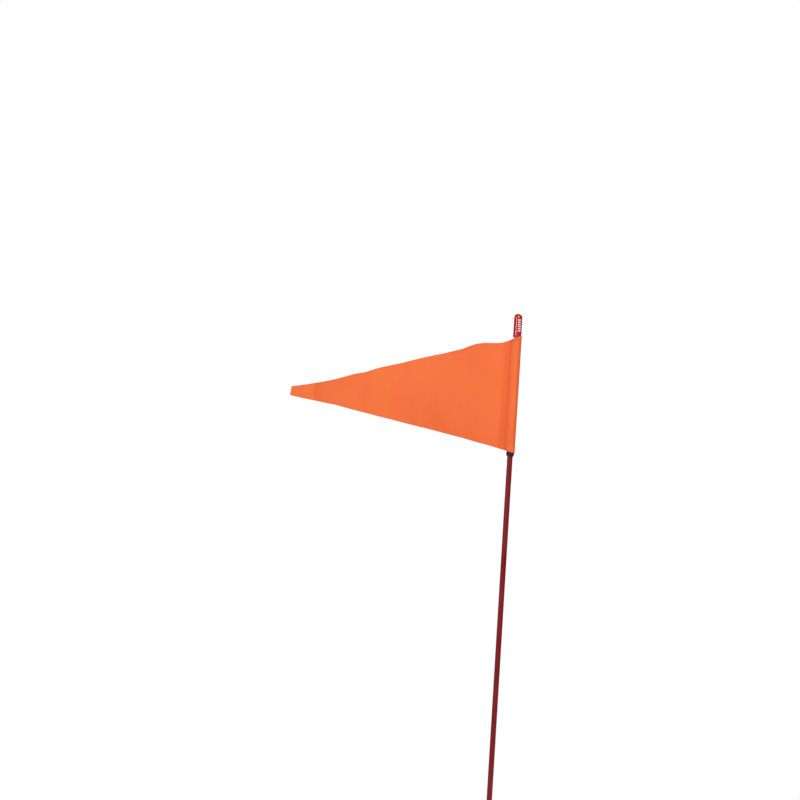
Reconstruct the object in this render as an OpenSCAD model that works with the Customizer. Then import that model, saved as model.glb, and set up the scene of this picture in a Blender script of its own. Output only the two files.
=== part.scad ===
// Safety flag whip: an orange pennant on a vinyl-covered fibreglass rod.
// The origin is the centre of the ferrule's shoulder, which sits on the vehicle's bracket.
// +Z runs up the rod, the stud points down, and the pennant streams towards -X.
// All sizes are in millimetres.

/* [Whip] */
// Height from the ferrule's shoulder to the top of the cap
whip_height = 1219; // [900:1:1800]
// Diameter of the rod over its vinyl jacket
rod_d = 9.6; // [9:0.1:10.5]
// Wall of the vinyl jacket
jacket_wall = 0.8; // [0.4:0.1:1.2]

/* [Cap] */
// Length of the tip cap
cap_len = 42; // [32:1:60]
// Diameter of the cap at its open end
cap_base_d = 14.8; // [13:0.1:15.2]
// Diameter of the cap where its dome starts
cap_top_d = 14.2; // [12.5:0.1:15]
// Thickness of the cap at the top of its dome
cap_dome_wall = 5; // [2:0.5:8]

/* [Flag] */
// Height of the flag along the rod
hoist = 206.4; // [150:0.1:260]
// Length at which the flag's two long edges would meet
apex_len = 404; // [390:0.1:500]
// Length of the flag from its folded edge to its blunt tip
fly = 398.4; // [380:0.1:400]
// Length of the slimmer end, which narrows less steeply
tab_len = 80; // [40:1:100]
// Width of the blunt tip
tip_w = 16; // [12:0.1:20]
// How far the tip hangs below the middle of the hoist
tip_drop = 16.6; // [0:0.1:40]
// How far the top edge dips beside the sleeve
dip = 5; // [0:0.5:8]
// How far the top edge bows up further out
bow = 4; // [0:0.5:8]
// Width of the sleeve from its folded edge to its first row of stitches
sleeve_w = 23; // [20:0.5:30]
// Distance from the rod's axis to the sleeve's folded edge
fold_x = 8.2; // [8.1:0.1:9]
// Thickness of the cloth
cloth = 0.8; // [0.5:0.1:1.2]
// Height of the waves in the cloth
wave_amp = 6; // [0:0.5:12]
// Number of waves between the sleeve and the tip
waves = 1.5; // [0.5:0.25:3]

/* [Retaining ring] */
// Height of the rubber ring under the flag
ring_h = 8; // [6:0.1:9]
// Outer diameter of the rubber ring
ring_d = 13.8; // [12.5:0.1:14]
// Diameter of the ring's tapered lower end
ring_foot_d = 11.4; // [11.3:0.1:12.4]
// How far the ring leans along the flag's slanting hem
ring_tilt = 8; // [0:1:8]

/* [Base] */
// Length of the ferrule
ferrule_len = 53.6; // [40:0.1:80]
// Diameter of the ferrule's round body
ferrule_d = 14; // [13.5:0.1:15]
// Distance across the flats of the ferrule's hexagon
hex_af = 15.9; // [15:0.1:19]
// Height of the hexagon
hex_h = 11; // [8:0.5:14]
// Length of stud below the shoulder
stud_len = 25.4; // [24:0.1:40]
// Thickness of the lock washer
washer_h = 2.4; // [1.5:0.1:3]
// Distance across the flats of the mounting nut
nut_af = 14.3; // [14:0.1:16]
// Thickness of the mounting nut
nut_h = 5.6; // [5:0.1:8.5]
// Space left for a bracket between the shoulder and the lock washer
bracket_gap = 3.2; // [2.5:0.1:6]

/* [Hidden] */
$fn = 64;

// Fits
fit = 0.05;          // radial clearance of the cap and ring on the jacket
cloth_gap = 0.35;    // radial clearance of the sleeve round the rod
end_gap = 0.3;       // clearance between the sleeve's ends and the cap and ring
cap_lap = 3.3;       // how far the sleeve's upper corner laps over the cap
ring_lap = 2.6;      // how far the ring's top stands inside the sleeve's lower end
stud_fit = 0.02;     // radial clearance of the stud in the ferrule

// Rod and cap
rod_r = rod_d / 2;
core_r = rod_r - jacket_wall;
cap_z = whip_height - cap_len;
bore_top = whip_height - cap_dome_wall;
cap_head = 0.3;                // space above the rod's end inside the cap
rod_top = bore_top - cap_head;
cap_edge = 0.4;                // bevel at the cap's open end
cap_dome_r = cap_top_d / 2;
cap_wall_top = whip_height - cap_dome_r;

// Printed bars on the cap
mark_t = 0.15;
mark_angle = 42;               // how far each bar runs round the cap
mark_turn = 21;                // from the front towards +X
mark_z = 10.5;                 // above the cap's open end
bar_h = 2.2;
bar_pitch = 3.8;
bars = 6;

// Base
stud_r = 4.7625;               // 3/8 inch stud
stud_chamfer = 1.2;
stud_in = 10;                  // depth of the stud's hole in the ferrule
stud_clear = 0.1;              // space between the stud's end and the bottom of its hole
relief_r = 4.3;                // shallow groove that the nut covers
relief_h = 1.2;
relief_drop = 0.3;             // how far the groove starts below the nut
washer_z = -bracket_gap - washer_h;
nut_z = washer_z - nut_h;
neck_h = 8;                    // tapered neck at the ferrule's top
neck_r = rod_r + 0.7;
socket_z = stud_in + 2;
bond_t = 0.25;
groove_d = 0.5;                // depth of each crimp groove
groove_h = 1.6;
groove_z = [20, 26, 32];       // crimp grooves above the shoulder
washer_in_r = stud_r + 0.12;
washer_out_r = 8.6;
split_w = 1.2;
nut_bore_r = stud_r + 0.05;

// Flag: u runs from the folded edge towards the tip
sleeve_in_r = rod_r + cloth_gap;
sleeve_out_r = sleeve_in_r + cloth;
flag_top = cap_z + cap_lap;
flag_bottom = flag_top - hoist;
flag_mid = (flag_top + flag_bottom) / 2;
allowance = 6;                 // turned-in cloth past the first stitches
panel_u = sleeve_w + allowance;
dip_len = 64;
bow_from = 160;
bow_len = 215;
tip_slant = 2;                 // the tip's upper corner is cut back by this
outline_steps = 30;
wave_steps = 36;
ring_top = flag_bottom + ring_lap;
ring_rise = ring_d / 2 * sin(ring_tilt);
bell_h = 7;                    // length over which the sleeve opens at each end
over = 5;                      // how far cutting shapes stand past the flag's ends
flag_depth = 80;               // more than the flag's waves reach

// Stitches
stitch_w = 0.5;
stitch_t = 0.25;
stitch_rows = [0, 4];          // past the sleeve's width
stitch_margin = 2;

function x_of(u) = fold_x - u;
// Height of the flag's middle line above the middle of the hoist
function middle(u) = -tip_drop * (1 - cos(180 * u / fly)) / 2;
function taper(u) = hoist / 2 * (1 - u / apex_len);
function tab(u) = let (from = fly - tab_len, t = (u - from) / tab_len)
    taper(from) * (1 - t) + tip_w / 2 * t;
// A smooth hump between from and from + length
function hump(u, from, length) = let (t = (u - from) / length)
    t < 0 || t > 1 ? 0 : pow(sin(180 * t), 2);
// How far the top edge lies below the straight taper
function top_dip(u) = dip * hump(u, 0, dip_len) - bow * hump(u, bow_from, bow_len);
// Half the flag's height
function half_width(u) = u < fly - tab_len ? taper(u) : tab(u);
// How far the cloth stands off the plane of the rod
function wave(u) = let (t = max(0, u - panel_u) / (fly - panel_u))
    wave_amp * t * sin(360 * waves * t);

// The flag's outline, seen from the front
module flag_outline() {
    step = (fly - sleeve_w) / outline_steps;
    stations = concat([0], [for (i = [0:outline_steps - 1]) sleeve_w + i * step], [fly]);
    upper = [for (u = stations)
        [x_of(u == fly ? fly - tip_slant : u), flag_mid + middle(u) + half_width(u) - top_dip(u)]];
    lower = [for (i = [len(stations) - 1:-1:0]) let (u = stations[i])
        [x_of(u), flag_mid + middle(u) - half_width(u)]];
    rotate([90, 0, 0])
        linear_extrude(height = flag_depth, center = true)
            polygon(concat(upper, lower));
}

// A circle drawn out to a blunt point at x = -reach, as cloth lies when wrapped round a rod;
// the straight sides leave the circle where they are tangent to it
module teardrop(r, reach, point_half) {
    a = acos((r - point_half) / reach);
    circle(r = r);
    polygon([[-r * cos(a), r * sin(a)], [-reach, point_half],
             [-reach, -point_half], [-r * cos(a), -r * sin(a)]]);
}

module rod_core() {
    color("khaki")
        translate([0, 0, socket_z])
            cylinder(r = core_r, h = rod_top - socket_z);
}

module rod_jacket() {
    color([0.5, 0.1, 0.12])
        translate([0, 0, ferrule_len])
            difference() {
                cylinder(r = rod_r, h = rod_top - ferrule_len);
                translate([0, 0, -1])
                    cylinder(r = core_r, h = rod_top - ferrule_len + 2);
            }
}

// A hexagon whose corners are chamfered at both ends
module hexagon(af, h) {
    corner_r = af / 2 / cos(30);
    chamfer = 0.9;
    chamfer_in = 0.3;          // how far the chamfer bites into the flats
    flat_r = af / 2 - chamfer_in;
    intersection() {
        cylinder(r = corner_r, h = h, $fn = 6);
        rotate_extrude()
            polygon([[0, 0], [flat_r, 0], [corner_r, chamfer],
                     [corner_r, h - chamfer], [flat_r, h], [0, h]]);
    }
}

module ferrule() {
    body_r = ferrule_d / 2;
    color("silver")
        difference() {
            union() {
                hexagon(hex_af, hex_h);
                rotate_extrude()
                    polygon([[0, 0], [body_r - 1, 0], [body_r - 1, hex_h + 1], [body_r, hex_h + 2],
                             [body_r, ferrule_len - neck_h], [neck_r, ferrule_len - 0.5],
                             [neck_r - 0.5, ferrule_len], [0, ferrule_len]]);
            }
            translate([0, 0, -1])
                cylinder(r = stud_r + stud_fit, h = stud_in + 1);
            translate([0, 0, socket_z])
                cylinder(r = core_r + bond_t, h = ferrule_len);
            for (z = groove_z)
                translate([0, 0, z])
                    difference() {
                        cylinder(r = body_r + 1, h = groove_h);
                        translate([0, 0, -1])
                            cylinder(r = body_r - groove_d, h = groove_h + 2);
                    }
        }
}

module ferrule_bond() {
    color("goldenrod")
        translate([0, 0, socket_z])
            difference() {
                cylinder(r = core_r + bond_t, h = ferrule_len - socket_z);
                translate([0, 0, -1])
                    cylinder(r = core_r, h = ferrule_len);
            }
}

module base_stud() {
    relief_z = nut_z - relief_drop;
    top_z = stud_in - stud_clear;
    color("lightgrey")
        rotate_extrude()
            polygon([[0, -stud_len], [stud_r - stud_chamfer, -stud_len],
                     [stud_r, stud_chamfer - stud_len], [stud_r, relief_z],
                     [relief_r, relief_z], [relief_r, relief_z + relief_h],
                     [stud_r, relief_z + relief_h], [stud_r, top_z], [0, top_z]]);
}

module lock_washer() {
    color("gainsboro")
        translate([0, 0, washer_z])
            difference() {
                cylinder(r = washer_out_r, h = washer_h);
                translate([0, 0, -1])
                    cylinder(r = washer_in_r, h = washer_h + 2);
                // the slanting split
                translate([washer_out_r, 0, washer_h / 2])
                    rotate([35, 0, 0])
                        cube([2 * stud_r, split_w, 4 * washer_h], center = true);
            }
}

module mounting_nut() {
    color("silver")
        translate([0, 0, nut_z])
            difference() {
                hexagon(nut_af, nut_h);
                translate([0, 0, -1])
                    cylinder(r = nut_bore_r, h = nut_h + 2);
            }
}

module tip_cap() {
    color([0.75, 0.15, 0.15])
        difference() {
            rotate_extrude() {
                polygon([[0, cap_z], [cap_base_d / 2 - cap_edge, cap_z],
                         [cap_base_d / 2, cap_z + cap_edge],
                         [cap_dome_r, cap_wall_top], [0, cap_wall_top]]);
                intersection() {
                    translate([0, cap_wall_top])
                        circle(r = cap_dome_r);
                    translate([0, cap_wall_top])
                        square([cap_dome_r + 1, cap_dome_r + 1]);
                }
            }
            translate([0, 0, cap_z - 1])
                cylinder(r = rod_r + fit, h = bore_top - cap_z + 1);
        }
}

// Thin printed bars that follow the cap's slight taper
module cap_mark() {
    function cap_r(z) = cap_base_d / 2
        + (cap_dome_r - cap_base_d / 2) * (z - cap_edge) / (cap_wall_top - cap_z - cap_edge);
    color("white")
        translate([0, 0, cap_z])
            rotate([0, 0, mark_turn - 90 - mark_angle / 2])
                for (i = [0:bars - 1]) {
                    low = mark_z + i * bar_pitch;
                    high = low + bar_h;
                    rotate_extrude(angle = mark_angle)
                        polygon([[cap_r(low), low], [cap_r(low) + mark_t, low],
                                 [cap_r(high) + mark_t, high], [cap_r(high), high]]);
                }
}

// A soft ring that leans along the hem, with its bore straight on the rod
module retaining_ring() {
    edge = 0.6;
    taper_h = 2.5;
    half_h = ring_h / 2;
    color([0.1, 0.1, 0.1])
        translate([0, 0, ring_top - half_h])
            difference() {
                rotate([0, ring_tilt, 0])
                    rotate_extrude()
                        polygon([[0, -half_h], [ring_foot_d / 2, -half_h],
                                 [ring_d / 2, taper_h - half_h], [ring_d / 2, half_h - edge],
                                 [ring_d / 2 - edge, half_h], [0, half_h]]);
                translate([0, 0, -ring_h])
                    cylinder(r = rod_r + fit, h = 2 * ring_h);
            }
}

// The sleeve's section: round over the rod, drawn out to the seam and to the folded edge
module sleeve_section(r, seam_reach, fold_reach, point_half) {
    teardrop(r, seam_reach, point_half);
    mirror([1, 0])
        teardrop(r, fold_reach, point_half);
}

// The sleeve opens like a bell over the cap above and round the ring below
module bells(wall) {
    cap_bell_r = cap_base_d / 2 + end_gap + wall;
    ring_bell_r = ring_d / 2 + ring_h / 2 * sin(ring_tilt) + end_gap + wall;
    top_z = cap_z - end_gap;
    low_z = ring_top + ring_rise + end_gap;
    rotate_extrude() {
        polygon([[0, top_z - bell_h], [sleeve_in_r + wall, top_z - bell_h], [cap_bell_r, top_z],
                 [cap_bell_r, flag_top + over], [0, flag_top + over]]);
        polygon([[0, low_z + bell_h], [sleeve_in_r + wall, low_z + bell_h], [ring_bell_r, low_z],
                 [ring_bell_r, flag_bottom - over], [0, flag_bottom - over]]);
    }
}

module pole_sleeve() {
    seam_x = sleeve_w - fold_x;
    slit = 0.3;                // width of the opening where it runs out at the seam
    color("darkorange")
        intersection() {
            difference() {
                union() {
                    translate([0, 0, flag_bottom - over])
                        linear_extrude(height = hoist + 2 * over) {
                            sleeve_section(sleeve_out_r, seam_x, fold_x, cloth);
                            translate([-seam_x - allowance, -cloth])
                                square([allowance + 0.1, 2 * cloth]);
                        }
                    bells(cloth);
                }
                translate([0, 0, flag_bottom - over])
                    linear_extrude(height = hoist + 2 * over)
                        sleeve_section(sleeve_in_r, seam_x - 1, fold_x - 1, slit / 2);
                bells(0);
            }
            flag_outline();
        }
}

module pennant_panel() {
    step = (fly - panel_u) / wave_steps;
    us = [for (i = [0:wave_steps]) panel_u + i * step];
    front = [for (u = us) [x_of(u), wave(u) - cloth / 2]];
    back = [for (i = [wave_steps:-1:0]) [x_of(us[i]), wave(us[i]) + cloth / 2]];
    color("orange")
        intersection() {
            translate([0, 0, flag_bottom - over])
                linear_extrude(height = hoist + 2 * over)
                    polygon(concat(front, back));
            flag_outline();
        }
}

module sleeve_stitching() {
    color("orangered")
        for (row = stitch_rows, side = [-1, 1]) {
            u = sleeve_w + stitch_w + row;
            h = 2 * (half_width(u) - stitch_margin) - top_dip(u);
            translate([x_of(u), side * (cloth + stitch_t / 2), flag_mid + middle(u) - top_dip(u) / 2])
                cube([stitch_w, stitch_t, h], center = true);
        }
}

rod_core();
rod_jacket();
ferrule();
ferrule_bond();
base_stud();
lock_washer();
mounting_nut();
tip_cap();
cap_mark();
retaining_ring();
pole_sleeve();
pennant_panel();
sleeve_stitching();
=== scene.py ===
import math

import bpy
import numpy as np
from mathutils import Matrix, Vector, noise
from mathutils.geometry import convex_hull_2d


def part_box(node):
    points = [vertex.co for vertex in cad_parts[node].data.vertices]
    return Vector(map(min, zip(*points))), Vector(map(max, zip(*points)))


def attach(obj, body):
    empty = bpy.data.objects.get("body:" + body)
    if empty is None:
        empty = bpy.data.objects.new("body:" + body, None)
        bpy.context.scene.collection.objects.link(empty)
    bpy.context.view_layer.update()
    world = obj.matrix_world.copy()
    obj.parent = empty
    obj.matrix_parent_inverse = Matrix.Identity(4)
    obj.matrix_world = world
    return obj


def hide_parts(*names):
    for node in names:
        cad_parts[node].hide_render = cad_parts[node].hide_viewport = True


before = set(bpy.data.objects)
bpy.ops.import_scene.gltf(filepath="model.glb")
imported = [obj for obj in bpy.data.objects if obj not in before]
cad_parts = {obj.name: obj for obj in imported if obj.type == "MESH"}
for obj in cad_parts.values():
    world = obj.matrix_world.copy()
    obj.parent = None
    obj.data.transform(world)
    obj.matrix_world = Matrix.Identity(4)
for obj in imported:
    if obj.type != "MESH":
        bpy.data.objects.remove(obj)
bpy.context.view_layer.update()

# Shapes are worked out in millimetres and turned into metres when their mesh is made.
MM = 0.001


def box_mm(node):
    """A CAD node's lowest and highest corners in millimetres."""
    low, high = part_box(node)
    return np.array(low) / MM, np.array(high) / MM


# ---------------------------------------------------------------- sizes from the CAD frame

CAP_LOW, CAP_HIGH = box_mm("tip_cap")
JACKET_LOW, JACKET_HIGH = box_mm("rod_jacket")
RING_LOW, RING_HIGH = box_mm("retaining_ring")
SLEEVE_LOW, SLEEVE_HIGH = box_mm("pole_sleeve")
PANEL_LOW = box_mm("pennant_panel")[0]
FERRULE_LOW, FERRULE_HIGH = box_mm("ferrule")
STUD_LOW, STUD_HIGH = box_mm("base_stud")
WASHER_LOW, WASHER_HIGH = box_mm("lock_washer")
NUT_LOW, NUT_HIGH = box_mm("mounting_nut")

ROD_R = JACKET_HIGH[0]
CORE_R = box_mm("rod_core")[1][0]
STUD_R = STUD_HIGH[0]
FLOOR_Z = STUD_LOW[2]

# Flag outline: u runs from the folded edge towards the tip
FOLD_X = SLEEVE_HIGH[0]
FLY = FOLD_X - PANEL_LOW[0]
FLAG_TOP = SLEEVE_HIGH[2]
FLAG_BOTTOM = SLEEVE_LOW[2]
HOIST = FLAG_TOP - FLAG_BOTTOM
FLAG_MID = (FLAG_TOP + FLAG_BOTTOM) / 2
# Where the two hems' straight tapers would meet
APEX_LEN = 404
# Slimmer end: its length, the height of its cut, and how far the cut slants
TAB_LEN = 80
TIP_W = 16
TIP_SLANT = 2
# How far the tip hangs below the middle of the hoist
TIP_DROP = 16.6
# Upper hem: its dip beside the sleeve and its broad bow
DIP, DIP_LEN = 5, 64
BOW, BOW_FROM, BOW_LEN = 4, 160, 215
# Small rises of the upper hem, the last of them a dip: where each starts, its length and its height
HEM_RISES = ((50, 56, 3.0), (130, 90, 1.8), (242, 52, -1.8))
# Sleeve from its fold to its seam, and the strip of the back layer beyond the seam
SLEEVE_W = 23
HEM_W = 6

# Cloth: its thickness, the gap between two layers, and how finely it is meshed
CLOTH_T = 0.36
LAYER_GAP = 0.40
FLAG_ROWS = 92
PANEL_STEPS = 190

# Distance of the rows next to a cut edge from it, and how thick the fused edge is there beside the cloth
EDGE_STEPS = (0, 0.35, 0.8, 1.6)
EDGE_BEAD = (0.55, 1.35, 1.25, 1.0)

# Sleeve: where its two layers meet behind the rod, how square its tube is, its fit, and its flare
MEET_X = -11.6
SOFTNESS = 3.6
SNUG_FIT, FLARE_FIT = 0.2, 0.25
FLARE_START, FLARE_LEN = 9, 8.5

# Stitch rows beyond the seam, one stitch to the next, and each stitch's length and half thickness
STITCH_ROWS = (0.7, 4.7)
STITCH_PITCH = 2.8
STITCH_LEN, STITCH_R = 2.25, 0.24

# Gathers along the seam: height, spacing and the noise row of each size
PUCKERS = ((0.42, 7.5, 3.1), (0.22, 3.4, 8.7))

# How the single cloth stands off the rod's plane: the long wave and its turns, the broad and the fine
# unevenness, the kick at the tab's fold, the curl of the lower hem, the ripple of both hems, how the flag
# hangs back behind the rod, and how far the seam's gathers and the creases reach
WAVE_H, WAVE_TURNS, WAVE_SLANT = 3.2, 1.25, 0.2
BROAD_H, FINE_H = 1.5, 0.35
KICK_H, KICK_REACH, TAB_SLOPE = 4.2, 15, 0.07
CURL_H, CURL_REACH = 1.6, 22
RIPPLE_H, RIPPLE_REACH = 0.9, 9
HANG_BACK, HANG_FROM, HANG_REACH = 3.0, 17, 9
PUCKER_REACH, CREASE_REACH = 7, 8

# Upright creases: distance from the folded edge and depth, and the sharper fold across the slimmer end
CREASES = ((96, 0.25), (150, 0.5), (182, 0.45), (231, 0.25), (274, 0.6), (318, 0.25))
TAB_CREASE = 357

THREAD_PITCH = 25.4 / 24
RING_TILT_DEG = 8


def middle(u):
    """Height of the flag's middle line above the middle of the hoist."""
    return -TIP_DROP * (1 - np.cos(np.pi * u / FLY)) / 2


def half_width(u):
    """Half the flag's height: a straight taper, then a blunt tab."""
    tab_u = FLY - TAB_LEN
    taper = HOIST / 2 * (1 - np.minimum(u, tab_u) / APEX_LEN)
    share = np.clip((u - tab_u) / TAB_LEN, 0, 1)
    return taper * (1 - share) + TIP_W / 2 * share


def hump(u, start, length):
    """A smooth hump of height 1 between start and start + length."""
    return np.sin(np.pi * np.clip((u - start) / length, 0, 1)) ** 2


def top_dip(u):
    """How far the top edge lies below the straight taper."""
    rises = sum(height * hump(u, start, length) for start, length, height in HEM_RISES)
    return DIP * hump(u, 0, DIP_LEN) - BOW * hump(u, BOW_FROM, BOW_LEN) - rises


def upper_edge(u):
    """Height of the flag's upper edge."""
    return FLAG_MID + middle(u) + half_width(u) - top_dip(u)


def lower_edge(u):
    """Height of the flag's lower edge."""
    return FLAG_MID + middle(u) - half_width(u)


# ---------------------------------------------------------------- mesh helpers


def add_mesh(name, points_mm, faces, smooth=True):
    """A new mesh object from points in millimetres."""
    mesh = bpy.data.meshes.new(name)
    mesh.from_pydata((np.asarray(points_mm) * MM).tolist(), [], faces)
    mesh.update()
    mesh.polygons.foreach_set("use_smooth", [smooth] * len(mesh.polygons))
    piece = bpy.data.objects.new(name, mesh)
    bpy.context.scene.collection.objects.link(piece)
    return piece


def finish_piece(piece, material, body, replaced=()):
    """Gives a piece its material and its body, and hides the CAD nodes it stands for."""
    piece.data.materials.append(material)
    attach(piece, body)
    if replaced:
        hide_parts(*replaced)
    return piece


def grid_faces(rows, columns, first=0, wrap_rows=False, wrap_columns=False, flip=False):
    """Quads of a grid whose points are stored row by row."""
    faces = []
    for i in range(rows if wrap_rows else rows - 1):
        for j in range(columns if wrap_columns else columns - 1):
            a = first + i * columns + j
            b = first + i * columns + (j + 1) % columns
            c = first + (i + 1) % rows * columns + (j + 1) % columns
            d = first + (i + 1) % rows * columns + j
            faces.append((d, c, b, a) if flip else (a, b, c, d))
    return faces


def slab_faces(rows, columns, first=0):
    """Outward faces of a closed slab: a grid for one side, the next grid for the other, and the rim."""
    layer = rows * columns
    faces = grid_faces(rows, columns, first=first, flip=True)
    faces += grid_faces(rows, columns, first=first + layer)
    rim = [first + j for j in range(columns)]
    rim += [first + i * columns + columns - 1 for i in range(1, rows)]
    rim += [first + (rows - 1) * columns + j for j in range(columns - 2, -1, -1)]
    rim += [first + i * columns for i in range(rows - 2, 0, -1)]
    for a, b in zip(rim, rim[1:] + rim[:1]):
        faces.append((a, b, b + layer, a + layer))
    return faces


def end_discs(rings, sides):
    """Outward faces that close the first and the last ring of a tube."""
    return [tuple(reversed(range(sides))), tuple(range((rings - 1) * sides, rings * sides))]


def revolve(profile, segments, shape=None, open_line=False):
    """Points and faces of a closed profile of (radius, z) turned about Z.
    An open line runs from one end of the axis to the other, and each end is closed with a small disc.
    shape(angle, radius, z) may move each point and returns (radius, z)."""
    points = []
    for radius, z in profile:
        for k in range(segments):
            angle = 2 * math.pi * k / segments
            r, h = shape(angle, radius, z) if shape else (radius, z)
            points.append((r * math.cos(angle), r * math.sin(angle), h))
    faces = grid_faces(len(profile), segments, wrap_rows=not open_line, wrap_columns=True)
    if open_line:
        faces += end_discs(len(profile), segments)
    return points, faces


def arc(centre_r, centre_z, radius, start_deg, end_deg, steps):
    """Points of a rounded corner in a profile, in the (radius, z) plane."""
    angles = np.radians(np.linspace(start_deg, end_deg, steps + 1))
    return [(centre_r + radius * math.cos(a), centre_z + radius * math.sin(a)) for a in angles]


def line(start, end, steps):
    """Points along a straight stretch of a profile, without its last point."""
    return [tuple(np.array(start) + (np.array(end) - np.array(start)) * k / steps) for k in range(steps)]


def hexagon_radius(angle, across_flats):
    """Distance from the centre to a hexagon's side, with corners on the X axis."""
    turned = (angle % (math.pi / 3)) - math.pi / 6
    return across_flats / 2 / math.cos(turned)


def smooth_noise(x, y, z):
    """Smooth noise between about -1 and 1, the same in every run."""
    return noise.noise(Vector((x, y, z)))


# ---------------------------------------------------------------- node helpers


class Nodes:
    """A small builder for one material's node tree."""

    def __init__(self, name):
        self.material = bpy.data.materials.new(name)
        self.material.use_nodes = True
        self.tree = self.material.node_tree
        self.shader = self.tree.nodes["Principled BSDF"]

    def add(self, kind, inputs=None, **settings):
        node = self.tree.nodes.new(kind)
        for key, value in settings.items():
            setattr(node, key, value)
        for key, value in (inputs or {}).items():
            self.feed(node.inputs[key], value)
        return node

    def feed(self, socket, value):
        if isinstance(value, bpy.types.NodeSocket):
            self.tree.links.new(value, socket)
        else:
            socket.default_value = value

    def math(self, operation, a, b=0.0, clamp=False):
        node = self.add("ShaderNodeMath", operation=operation, use_clamp=clamp)
        self.feed(node.inputs[0], a)
        self.feed(node.inputs[1], b)
        return node.outputs[0]

    def noise(self, vector, scale, detail=2.0, roughness=0.5, distortion=0.0):
        node = self.add("ShaderNodeTexNoise", {"Vector": vector, "Scale": scale, "Detail": detail,
                                               "Roughness": roughness, "Distortion": distortion})
        return node.outputs["Fac"]

    def map_range(self, value, low, high, to_low, to_high):
        node = self.add("ShaderNodeMapRange", {"Value": value, "From Min": low, "From Max": high,
                                               "To Min": to_low, "To Max": to_high})
        return node.outputs["Result"]

    def mix(self, share, first, second, blend="MIX"):
        node = self.add("ShaderNodeMix", data_type="RGBA", blend_type=blend)
        self.feed(node.inputs[0], share)
        self.feed(node.inputs[6], first)
        self.feed(node.inputs[7], second)
        return node.outputs[2]

    def scaled(self, vector, scale):
        node = self.add("ShaderNodeMapping", {"Vector": vector, "Scale": scale})
        return node.outputs["Vector"]

    def object_place(self):
        """Place on the piece, in metres."""
        return self.add("ShaderNodeTexCoord").outputs["Object"]

    def bump(self, height, distance, strength=1.0, normal=None):
        node = self.add("ShaderNodeBump", {"Height": height, "Distance": distance, "Strength": strength})
        if normal is not None:
            self.feed(node.inputs["Normal"], normal)
        return node.outputs["Normal"]

    def set(self, **values):
        for key, value in values.items():
            self.feed(self.shader.inputs[key.replace("_", " ")], value)
        return self.material


def rgb(red, green, blue):
    """A colour from screen values of 0 to 255."""
    def linear(v):
        v /= 255
        return v / 12.92 if v <= 0.04045 else ((v + 0.055) / 1.055) ** 2.4
    return (linear(red), linear(green), linear(blue), 1.0)


# ---------------------------------------------------------------- materials

# The deeper orange also serves as painted shade, and the paler one as painted highlight along the creases
FLAG_ORANGE = rgb(238, 113, 55)
FLAG_DEEP = rgb(228, 92, 38)
FLAG_PALE = rgb(241, 119, 61)
WEAVE_PITCH = 0.42


def flag_material():
    """Coated plain-weave nylon: interlaced threads, mottled dye, a fused cut edge, painted crease
    highlights and shade.
    """
    n = Nodes("flag_nylon")
    cloth = n.add("ShaderNodeUVMap", uv_map="cloth").outputs["UV"]
    place = n.object_place()
    split = n.add("ShaderNodeSeparateXYZ", {"Vector": cloth})
    warp = n.math("MULTIPLY", split.outputs["X"], math.pi / (WEAVE_PITCH * MM))
    weft = n.math("MULTIPLY", split.outputs["Y"], math.pi / (WEAVE_PITCH * MM))
    warp_wave = n.math("SINE", warp)
    weft_wave = n.math("SINE", weft)
    over = n.math("MULTIPLY", warp_wave, weft_wave)
    warp_round = n.math("ABSOLUTE", n.math("COSINE", warp))
    weft_round = n.math("ABSOLUTE", n.math("COSINE", weft))
    threads = n.math("ADD", n.math("MULTIPLY", over, 0.5),
                     n.math("MULTIPLY", n.math("ADD", warp_round, weft_round), -0.35))
    slub = n.noise(n.scaled(cloth, (2400, 90, 1)), 1.0, detail=1.0)
    slub_across = n.noise(n.scaled(cloth, (90, 2400, 1)), 1.0, detail=1.0)
    mottle = n.noise(place, 14.0, detail=3.0, roughness=0.55)
    cloud = n.noise(place, 5.0, detail=1.0)
    painted_crease_highlight = n.add("ShaderNodeAttribute", attribute_name="painted_crease_highlight").outputs["Fac"]
    edge = n.add("ShaderNodeAttribute", attribute_name="edge").outputs["Fac"]
    painted_ply_shade = n.add("ShaderNodeAttribute", attribute_name="painted_ply_shade").outputs["Fac"]
    tone = n.add("ShaderNodeAttribute", attribute_name="tone").outputs["Fac"]

    base = n.mix(n.map_range(mottle, 0.35, 0.68, 0.0, 1.0), FLAG_ORANGE, FLAG_PALE)
    base = n.mix(n.map_range(cloud, 0.42, 0.66, 0.0, 0.35), base, FLAG_DEEP)
    base = n.mix(n.map_range(threads, -0.7, 0.4, 0.16, 0.0), base, FLAG_DEEP)
    base = n.mix(n.map_range(slub, 0.3, 0.75, 0.0, 0.10), base, FLAG_PALE)
    # Painted highlight along the crease lines
    base = n.mix(n.math("MULTIPLY", painted_crease_highlight, 0.30), base, FLAG_PALE)
    base = n.mix(n.math("MULTIPLY", edge, 0.55), base, FLAG_DEEP)
    # Painted shade of the folds, the seam and the hems
    base = n.mix(tone, base, FLAG_DEEP)
    # Painted shade on the two-ply strip along the seam
    base = n.mix(n.math("MULTIPLY", painted_ply_shade, 0.5), base, FLAG_DEEP)

    height = n.math("ADD", threads, n.math("MULTIPLY", n.math("ADD", slub, slub_across), 0.35))
    weave_normal = n.bump(height, 0.00006, 0.55)
    soft = n.noise(place, 55.0, detail=4.0, roughness=0.6)
    normal = n.bump(soft, 0.0006, 0.35, weave_normal)
    rough = n.map_range(mottle, 0.3, 0.7, 0.62, 0.74)
    rough = n.math("SUBTRACT", rough, n.math("MULTIPLY", edge, 0.25))
    n.set(Base_Color=base, Roughness=rough, Normal=normal)
    # The faint orange emission is painted light: a glow that lifts the cloth's shaded parts
    return n.set(Sheen_Weight=0.25, Sheen_Roughness=0.45, Specular_IOR_Level=0.35,
                 Sheen_Tint=rgb(255, 170, 130), Emission_Color=rgb(255, 92, 30), Emission_Strength=0.08)


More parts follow.
